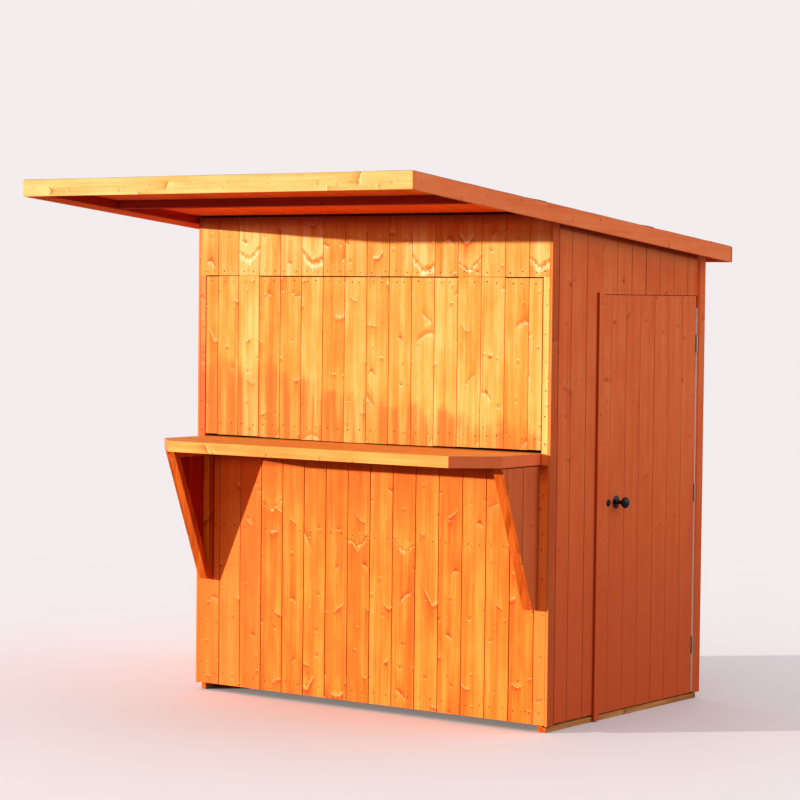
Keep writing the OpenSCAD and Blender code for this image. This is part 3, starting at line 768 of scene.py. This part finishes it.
b0, b1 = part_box("right_wall_front")
B = Builder()
boards(B, RO, Y, Z, -X, [b0[1], F(64.5), F(159), F(272), b1[1]], zfun(b0[2]), side_top, T,
       gap=(0.0005, 0.0010), ch=0.0020, wide={1: 0.0026})
B.make("right_wall_front_boards", W_WALL, "building", ["right_wall_front"])
b0, b1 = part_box("right_wall_header")
rh_edges = [b0[1]] + [F(498 + 113 * k) for k in range(6)] + [b1[1]]
B = Builder()
boards(B, RO, Y, Z, -X, rh_edges, zfun(b0[2] - 0.0025), side_top, T, gap=(0.0005, 0.0011),
       ch=0.0020, wide={3: 0.0016})
B.make("right_wall_header_boards", W_WALL, "building", ["right_wall_header"])
b0, b1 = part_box("right_wall_rear")
B = Builder()
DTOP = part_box("door_boards")[1][2] + 0.0025
# Below the door's top the board is the near-white raw strip seen in the door's gap, partly painted light.
board(B, RO, Y, Z, -X, b0[1], b1[1], zfun(b0[2]), zfun(DTOP), T, g0=0, g1=0, ch=0.0006)
board(B, RO, Y, Z, -X, b0[1], b1[1], zfun(DTOP), side_top, T, g0=0, g1=0, ch=0.0006, mat=1)
B.make("right_wall_rear_board", [W_PALE, W_SIDE], "building", ["right_wall_rear"])
b0, b1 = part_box("left_wall")
left_edges = [b0[1], F(64.5)] + [F(y) for y in lines] + [b1[1]]
B = Builder()
boards(B, LO, Y, Z, X, left_edges, zfun(b0[2]), side_top, T, gap=(0.0005, 0.0010), ch=0.0020)
B.make("left_wall_boards", W_WALL, "building", ["left_wall"])
b0, b1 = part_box("back_wall")
B = Builder()
boards(B, Vector((0, b1[1], 0)), X, Z, -Y, up_edges, zfun(b0[2]),
       lambda u, w: zu(b1[1] - w) - 0.0002, T)
B.make("back_wall_boards", W_SIDE, "building", ["back_wall"])

# door
d0, d1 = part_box("door_boards")
door_edges = [d0[1]] + [F(459 + 113 * k) for k in range(6)] + [d1[1]]
B = Builder()
boards(B, RO, Y, Z, -X, door_edges, zfun(d0[2]), zfun(d1[2]), T, gap=(0.0003, 0.0007),
       ch=0.0014, wide={4: 0.0010})
B.make("door_panel", W_DOOR, "door", ["door_boards"])

# ------------------------------------------------------------------ timber
timber("trims_front", ["corner_trim_front_left", "corner_trim_front_right"], W_TRIM,
       "building", front=W_EDGE)
timber("trims_rear", ["corner_trim_rear_left", "corner_trim_rear_right"], W_SIDE,
       "building", front=W_BARGE)
j0, j1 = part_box("door_jamb_strip")
B = Builder()
# The strip's edge faces take the joint colour: painted shade on its edges.
board(B, Vector((j1[0], 0, 0)), Y, Z, -X, j0[1], j1[1], zfun(j0[2]), zfun(j1[2]), j1[0] - j0[0],
      g0=0.0004, g1=0.0004, ch=0.0016, tongue=0.0119)
B.make("door_cover_strip", W_STOP, "building", ["door_jamb_strip"])
timber("framing", ["front_frame", "left_frame", "back_frame", "right_frame"], W_RAW,
       "building")
timber("hatch_framing", ["hatch_battens"], W_RAW, "hatch")
timber("door_framing", ["door_ledges"], W_RAW, "door")
timber("bearers", ["floor_bearers"], W_BEARER, "building", bevel=0.002,
       front=W_BAT)
# The upright battens' front faces take W_RAIL: painted light in their shade.
timber("bracket_rails", ["bracket_battens_left", "bracket_battens_right"], W_BAT,
       "building", front=W_RAIL, square=-0.97)
timber("fascia_front", ["front_fascia"], W_FAS, "building", sides=W_BARGE)
timber("fascia_rear", ["rear_fascia"], W_SIDE, "building")
timber("barge_boards", ["barge_board_left", "barge_board_right"], W_BARGE,
       "building")
# W_UNDER paints the shade on the canopy battens.
timber("canopy_battens", ["roof_purlins", "roof_side_rafters"], W_UNDER,
       "building")

# floor boards, along Y over the bearers
f0, f1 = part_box("floor_boards")
fx = [f0[0]] + [-0.76 + 0.113 * k for k in range(14)] + [f1[0]]
B = Builder()
for_top = Vector((0, 0, f1[2]))
boards(B, for_top, X, Y, -Z, fx[:-1] + [f1[0] - 0.005], zfun(f0[1]), zfun(f1[1]), T, gap=(0.0002, 0.0006))
B.make("floor_planks", W_RAW, "building", ["floor_boards"])

# roof boards, along Y, faces down
r0, r1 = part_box("roof_deck")
rx = [r0[0]] + [-0.87 + 0.116 * k for k in range(16)] + [r1[0]]
B = Builder()
S = Vector((0, 1, -SLOPE))
DO = Vector((0, r0[1], zu(r0[1])))
boards(B, DO, X, S, Z, rx, zfun(0.0), zfun(r1[1] - r0[1]), T)
B.make("roof_boarding", W_DECK, "building", ["roof_deck"])

# ------------------------------------------------------- counter, brackets
c0, c1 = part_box("counter_top")
CW = c1[0]
cyk, cyf = F(-265), c0[1]
cxf = CW - 0.153


def ctr_end(u, w):
    """Half length of the counter; a hair's gap beside the wall's strips."""
    if u >= cyk:
        return CW - 0.004
    return CW - 0.004 - (cyk - u) / (cyk - cyf) * (CW - 0.004 - cxf)


B = Builder()
cy = [c0[1], F(-312), F(-204), F(-92), c1[1]]
boards(B, Vector((0, 0, c1[2])), Y, X, -Z, cy, lambda u, w: -ctr_end(u, w), ctr_end,
       c1[2] - c0[2], cuts=(cyk,), gap=(0.0003, 0.0007), tongue=0.006, end=1)
B.make("counter_planks", [W_CTR, W_END], "building", ["counter_top"])

BT = c0[2]
q0, q1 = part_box("bracket_right")


def br_lo(u, w):
    y = u
    yf, yb = q0[1], F(-40)
    if y >= yb:
        return q0[2]
    return q0[2] + (yb - y) / (yb - yf) * (BT - q0[2])


# The boards' inner faces take W_NOOK: painted shade inside the brackets.
for nd, sgn in (("bracket_left", -1), ("bracket_right", 1)):
    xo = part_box(nd)[1][0] if sgn > 0 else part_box(nd)[0][0]
    B = Builder()
    boards(B, Vector((xo, 0, 0)), Y, Z, -X * sgn, [q0[1] + 0.0005, F(-226), F(-113), q1[1]],
           br_lo, zfun(BT - 0.005), T, cuts=(F(-40),), gap=(0.0004, 0.0005), ch=0.0016, back=1,
           end=2, wide={2: 0.0009})
    B.make(nd + "_boards", [W_BRK, W_NOOK, W_BAT], "building", [nd])

# painted shade: a thin dark strip on the wall in the corner beside each upright batten, where the corner lies in
# shade
for nd, sgn in (("bracket_battens_left", 1), ("bracket_battens_right", -1)):
    lo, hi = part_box(nd)
    xb = hi[0] if sgn > 0 else lo[0] - 0.004
    B = Builder()
    board(B, Vector((0, WALL_Y - 0.0012, 0)), X, Z, Y, xb, xb + 0.004, zfun(lo[2] + 0.01),
          zfun(BT - 0.002), 0.0012, g0=0, g1=0, ch=0.0003)
    B.make(nd.replace("battens", "corner_painted_shade"), W_NOOK, "building")

# --------------------------------------------------------------- hardware
def lathe(name, prof, origin, sx, mat, body, seg=48, replaces=()):
    """Turned piece about X; prof holds (distance along X, radius)."""
    vs, fs = [], []
    n = len(prof)
    for i in range(seg):
        an = 2 * math.pi * i / seg
        for (h, r) in prof:
            vs.append((origin[0] + sx * h, origin[1] + r * math.cos(an), origin[2] + r * math.sin(an)))
    for i in range(seg):
        j = (i + 1) % seg
        for k in range(n - 1):
            fs.append((i * n + k, j * n + k, j * n + k + 1, i * n + k + 1))
    fs.append(tuple(i * n for i in range(seg)))
    fs.append(tuple(i * n + n - 1 for i in range(seg - 1, -1, -1)))
    me = bpy.data.meshes.new(name)
    me.from_pydata(vs, [], fs)
    bm = bmesh.new(); bm.from_mesh(me)
    bmesh.ops.recalc_face_normals(bm, faces=bm.faces)
    bm.to_mesh(me); bm.free()
    me.polygons.foreach_set("use_smooth", [len(p.vertices) == 4 for p in me.polygons])
    me.materials.append(mat)
    o = bpy.data.objects.new(name, me)
    bpy.context.scene.collection.objects.link(o)
    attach(o, body)
    if replaces:
        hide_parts(*replaces)
    return o


def round_prof(pts, n=5):
    """Rounds a turned profile with a Catmull-Rom curve."""
    out = []
    P = [pts[0]] + list(pts) + [pts[-1]]
    for i in range(1, len(P) - 2):
        for k in range(n):
            s = k / n
            o = []
            for c in (0, 1):
                p0, p1, p2, p3 = (P[i + j][c] for j in (-1, 0, 1, 2))
                o.append(0.5 * (2 * p1 + (p2 - p0) * s + (2 * p0 - 5 * p1 + 4 * p2 - p3) * s * s
                                + (3 * p1 - p0 - 3 * p2 + p3) * s ** 3))
            out.append((o[0], max(o[1], 0.00002)))
    out.append((pts[-1][0], max(pts[-1][1], 0.00002)))
    return out


kb0, kb1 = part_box("door_knob")
ky, kz = (kb0[1] + kb1[1]) / 2, (kb0[2] + kb1[2]) / 2
kp = [(0.0, 0.010), (0.006, 0.008), (0.014, 0.0075), (0.020, 0.010), (0.026, 0.0168),
      (0.032, 0.0218), (0.038, 0.0229), (0.044, 0.0208), (0.049, 0.0140), (0.0515, 0.0070), (0.052, 0.0)]
lathe("knob_outer", round_prof(kp), (HW + 0.0065, ky, kz), 1, M_BLACK, "knob",
      replaces=["door_knob"])
lathe("knob_inner", round_prof(kp), (kb0[0] + 0.052, ky, kz), -1, M_BLACK, "knob")
lathe("knob_spindle", [(0.0, 0.0039), (HW + 0.0067 - kb0[0] - 0.052, 0.0039)],
      (kb0[0] + 0.052, ky, kz), 1, M_ZINC, "knob", seg=4)
rp = [(0.0, 0.0264), (0.0014, 0.0265), (0.003, 0.0235), (0.0042, 0.019), (0.0055, 0.0150), (0.006, 0.0120), (0.006, 0.0104)]
lathe("rose_plate", [(0.0, 0.0052)] + rp[:] + [(0.0058, 0.0052)], (HW, ky, kz), 1, M_BLACK, "door",
      replaces=["knob_rose"])
e0, e1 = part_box("keyhole_cover")
ey, ez = (e0[1] + e1[1]) / 2, (e0[2] + e1[2]) / 2
lathe("escutcheon", [(0.0, 0.0149), (0.0012, 0.015), (0.0028, 0.0132), (0.0036, 0.0105), (0.0034, 0.0075), (0.0030, 0.0060), (0.0036, 0.0045), (0.0040, 0.0)],
      (HW, ey, ez), 1, M_BLACK, "door", replaces=["keyhole_cover"])


def recast(nd, mat, name, body, bevel=0.0012):
    """A CAD node with eased edges."""
    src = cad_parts[nd]
    me = src.data.copy(); me.name = name
    me.transform(src.matrix_world)
    bm = bmesh.new(); bm.from_mesh(me)
    bmesh.ops.remove_doubles(bm, verts=bm.verts, dist=1e-6)
    bmesh.ops.dissolve_limit(bm, angle_limit=math.radians(1.0), verts=bm.verts, edges=bm.edges)
    ed = [e for e in bm.edges if len(e.link_faces) == 2 and e.calc_face_angle(0) > 0.6]
    bmesh.ops.bevel(bm, geom=ed, offset=bevel, segments=2, profile=0.6, affect="EDGES", clamp_overlap=True)
    bm.to_mesh(me); bm.free()
    me.materials.clear(); me.materials.append(mat)
    o = bpy.data.objects.new(name, me)
    bpy.context.scene.collection.objects.link(o)
    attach(o, body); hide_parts(nd)
    return o


recast("lock_case", M_BLACK, "rim_lock", "door", 0.0025)
for nd in ("hatch_hinges_wall", "hatch_hinges_leaf", "door_hinges_post", "door_hinges_leaf"):
    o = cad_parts[nd]
    o.data.materials.clear(); o.data.materials.append(M_ZINC)

# -------------------------------------------------------------------- felt
B = Builder()
fx0, fx1 = ROOF_LO[0] + 0.004, ROOF_HI[0] - 0.004
fy0, fy1 = ROOF_LO[1] + 0.004, REAR_HI[1] - 0.004
TOP = 0.0162
laps = [fy0, fy0 + 0.80, fy0 + 1.60, fy1]
for i in range(3):
    ya, yb = laps[i], laps[i + 1] + (0.07 if i < 2 else 0.0)
    nx, ny = 40, 16
    vs, fs = [], []
    lift = 0.0014 * (2 - i)
    for lay in (0, 1):
        for iy in range(ny + 1):
            for ix in range(nx + 1):
                x = fx0 + (fx1 - fx0) * ix / nx + (jit(0.0016) if ix in (0, nx) else 0)
                y = ya + (yb - ya) * iy / ny
                y = y + (jit(0.002) if (iy == ny or (iy == 0 and i == 0)) else 0)
                z = zu(y) + TOP + lay * 0.0015
                edge = min(x - fx0, fx1 - x, y - fy0, fy1 - y)
                # over the boards the sheet rests a little lower than on the
                # fascia; the next sheet's end lies on top of it
                z += -0.0012 * min(max(edge, 0.0) / 0.03, 1.0)
                t2 = min(max((y - (yb - 0.09)) / 0.02, 0.0), 1.0) if i < 2 else 0.0
                z += 0.0016 * t2 + (jit(0.0003) if 0 < ix < nx else 0)
                vs.append((x, y, z))
    n1 = (nx + 1) * (ny + 1)
    for iy in range(ny):
        for ix in range(nx):
            a = iy * (nx + 1) + ix
            q = (a, a + 1, a + nx + 2, a + nx + 1)
            fs.append(q[::-1]); fs.append(tuple(k + n1 for k in q))
    rim = [ix for ix in range(nx + 1)] + [iy * (nx + 1) + nx for iy in range(1, ny + 1)] + \
          [ny * (nx + 1) + ix for ix in range(nx - 1, -1, -1)] + [iy * (nx + 1) for iy in range(ny - 1, 0, -1)]
    for k in range(len(rim)):
        a, b = rim[k], rim[(k + 1) % len(rim)]
        fs.append((a, b, b + n1, a + n1))
    B.add(vs, fs, [(0, 0, 0)] * len(vs), 0.5)
felt = B.make("felt_sheets", M_FELT, "building", ["roof_felt"])
cl = []
for x in [fx0 + 0.02 + 0.09 * k for k in range(21)]:
    for y in (fy0 + 0.010, fy1 - 0.010, laps[1] + 0.055, laps[2] + 0.055):
        cl.append((x + jit(0.006), y + jit(0.003), zu(y) + TOP + 0.0024 + (0.0008 if y in (laps[1] + 0.055, laps[2] + 0.055) else 0)))
for y in [fy0 + 0.09 * k for k in range(1, 26)]:
    for x in (fx0 + 0.010, fx1 - 0.010):
        cl.append((x + jit(0.003), y + jit(0.006), zu(y) + TOP + 0.0018))
clout = nails("felt_clouts", cl, (0, 0.0936, 0.9956), "building", r=0.0045)
clout.data.materials[0] = M_ZINC

# ------------------------------------------------------------------- nails
yf = WALL_Y
P = []
P += [(x, yf, z) for x, z in pair_row(up_edges, z=1.794)]
P += [(x, yf, z) for x, z in pair_row(low_edges, z=0.075)]
P += [(x, yf, z) for x, z in pair_row(low_edges, z=0.715)]
P += [(x, yf, z) for x, z in pair_row(low_edges, z=1.020)]
for sx in (-1, 1):
    for z in [1.12 + 0.11 * k for k in range(6)]:
        P.append((sx * 0.873 + jit(0.003), yf, z + jit(0.01)))
    for z in [0.13 + 0.16 * k for k in range(6)]:
        P.append((sx * 0.870 + jit(0.004), yf, z + jit(0.015)))
nails("nails_front", P, (0, -1, 0), "building")
P = [(x, yf, z) for x, z in pair_row(hatch_edges, z=1.753, inset=0.034)]
P += [(x, yf, z) for x, z in pair_row(hatch_edges, z=1.148)]
nails("nails_hatch", P, (0, -1, 0), "hatch")

P = []
re_ = [F(64), F(159), F(272), F(347)]
for z in (1.367, 0.707, 0.079):
    P += [(HW, y, zz) for y, zz in pair_row(re_, z=z, inset=0.024)]
P += [(HW, y, zz) for y, zz in pair_row(rh_edges, z=1.728, inset=0.024)]
nails("nails_right", P, (1, 0, 0), "building", r=0.0026, mat=M_NAIL_S)
P = []
for z in (1.676, 0.742, 0.109):
    P += [(HW, y, zz) for y, zz in pair_row(door_edges, z=z, inset=0.024)]
z = 0.12
while z < 1.64:
    if abs(z - 0.88) > 0.06:
        P.append((HW, F(430) + jit(0.005), z))
    z += RNG.uniform(0.040, 0.090)
z = 0.12
while z < 1.64:
    P.append((HW, F(1115) + jit(0.005), z))
    z += RNG.uniform(0.09, 0.15)
nails("nails_door", P, (1, 0, 0), "door", r=0.0026, mat=M_NAIL_S)
P = []
le = [F(46)] + [F(y) for y in lines]
for z in (1.367, 0.707, 0.079):
    P += [(-HW, y, zz) for y, zz in pair_row(le, z=z, inset=0.024)]
nails("nails_left", P, (-1, 0, 0), "building", r=0.0026, mat=M_NAIL_S)
P = []
for z in (1.367, 0.707, 0.079):
    P += [(x, b1[1], zz) for x, zz in pair_row(up_edges, z=z, inset=0.026)]
nails("nails_back", P, (0, 1, 0), "building", r=0.0026, mat=M_NAIL_S)
P = []
for k in range(9):
    s = 0.05 + 0.1 * k
    y = F(-40) + (q0[1] - F(-40)) * s
    z = q0[2] + (BT - q0[2]) * s + 0.012
    P.append((y + 0.012 + jit(0.003), z + jit(0.004)))
nails("nails_bracket_right", [(q1[0], y, z) for y, z in P], (1, 0, 0), "building", r=0.002)
nails("nails_bracket_left", [(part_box("bracket_left")[0][0], y, z) for y, z in P], (-1, 0, 0), "building", r=0.002)
# trims, barges and fascia
P, Q = [], []
for k in range(9):
    z = 0.12 + 0.225 * k
    P.append((HW + T, F(23) + jit(0.004), z + jit(0.02)))
    Q.append((-HW - T, F(23) + jit(0.004), z + jit(0.02)))
    if z < 1.85:
        P.append((HW + T, F(1170) + jit(0.004), z + jit(0.02)))
        Q.append((-HW - T, F(1170) + jit(0.004), z + jit(0.02)))
    if z < 1.7:
        P.append((HW + T, F(366) + jit(0.003), z + jit(0.02)))
nails("nails_trim_right", P, (1, 0, 0), "building", r=0.0026, mat=M_NAIL_S)
nails("nails_trim_left", Q, (-1, 0, 0), "building", r=0.0026, mat=M_NAIL_S)
P, Q = [], []
for k in range(12):
    y = ROOF_LO[1] + 0.06 + 0.2 * k
    P.append((ROOF_HI[0], y + jit(0.02), zu(y) - 0.016 + jit(0.004)))
    Q.append((ROOF_LO[0], y + jit(0.02), zu(y) - 0.016 + jit(0.004)))
nails("nails_barge_right", P, (1, 0, 0), "building", r=0.002)
nails("nails_barge_left", Q, (-1, 0, 0), "building", r=0.002)
P, Q = [], []
for k in range(10):
    x = -0.9 + 0.2 * k
    P.append((x + jit(0.02), ROOF_LO[1], ROOF_LO[2] + 0.034 + jit(0.004)))
    Q.append((x + jit(0.02), REAR_HI[1], REAR_LO[2] + 0.034 + jit(0.004)))
nails("nails_fascia", P, (0, -1, 0), "building", r=0.002)
nails("nails_fascia_rear", Q, (0, 1, 0), "building", r=0.002)

# ------------------------------------------------------------ stage, light
def to_camera(t, seen, lit):
    """seen where the camera looks straight at the stage, lit for its light."""
    lp = t.nodes.new("ShaderNodeLightPath")
    return mixc(t, Sock(t, lp.outputs["Is Camera Ray"]), lit, seen)


me = bpy.data.meshes.new("floor")
me.from_pydata([(-60, -60, 0), (60, -60, 0), (60, 60, 0), (-60, 60, 0)], [], [(0, 1, 2, 3)])
fm, ft, fb = new_mat("studio_floor")
tc = ft.nodes.new("ShaderNodeTexCoord")
fn = noise(ft, Sock(ft, tc.outputs["Object"]), 3.0, 4.0)
pale_floor = mixc(ft, fn, (0.794, 0.772, 0.788), (0.814, 0.792, 0.808))
ft.links.new(to_camera(ft, pale_floor, (0.30, 0.285, 0.285)).o, fb.inputs["Base Color"])
fb.inputs["Roughness"].default_value = 0.9
fb.inputs["Specular IOR Level"].default_value = 0.1
me.materials.append(fm)
flo = bpy.data.objects.new("floor", me)
bpy.context.scene.collection.objects.link(flo)

# a pale room whose light comes mostly from above
w = bpy.data.worlds.new("world")
w.use_nodes = True
wt = w.node_tree
wc = wt.nodes.new("ShaderNodeTexCoord")
ws = wt.nodes.new("ShaderNodeSeparateXYZ")
wt.links.new(wc.outputs["Generated"], ws.inputs[0])
room = mixc(wt, Sock(wt, ws.outputs[2]).ramp(0.0, 1.0, smooth=False),
            (0.36, 0.35, 0.36), (1.08, 1.04, 1.06))
wt.links.new(to_camera(wt, (0.90, 0.845, 0.855), room).o,
             wt.nodes["Background"].inputs[0])
wt.nodes["Background"].inputs[1].default_value = 1.0
bpy.context.scene.world = w


def sunlamp(name, energy, colour, angle, travel):
    lamp = bpy.data.lights.new(name, "SUN")
    lamp.energy, lamp.color, lamp.angle = energy, colour, math.radians(angle)
    ob = bpy.data.objects.new(name, lamp)
    bpy.context.scene.collection.objects.link(ob)
    ob.rotation_mode = "QUATERNION"
    ob.rotation_quaternion = Vector(travel).to_track_quat("-Z", "Y")


sunlamp("key", 6.6, (1.0, 0.93, 0.80), 0.7, (1.041, 1.0, -0.165))
sunlamp("fill", 0.55, (1.0, 0.97, 0.96), 50.0, (-1.0, -0.45, -0.30))

bpy.context.scene.view_settings.view_transform = "Standard"
bpy.context.scene.view_settings.look = "None"
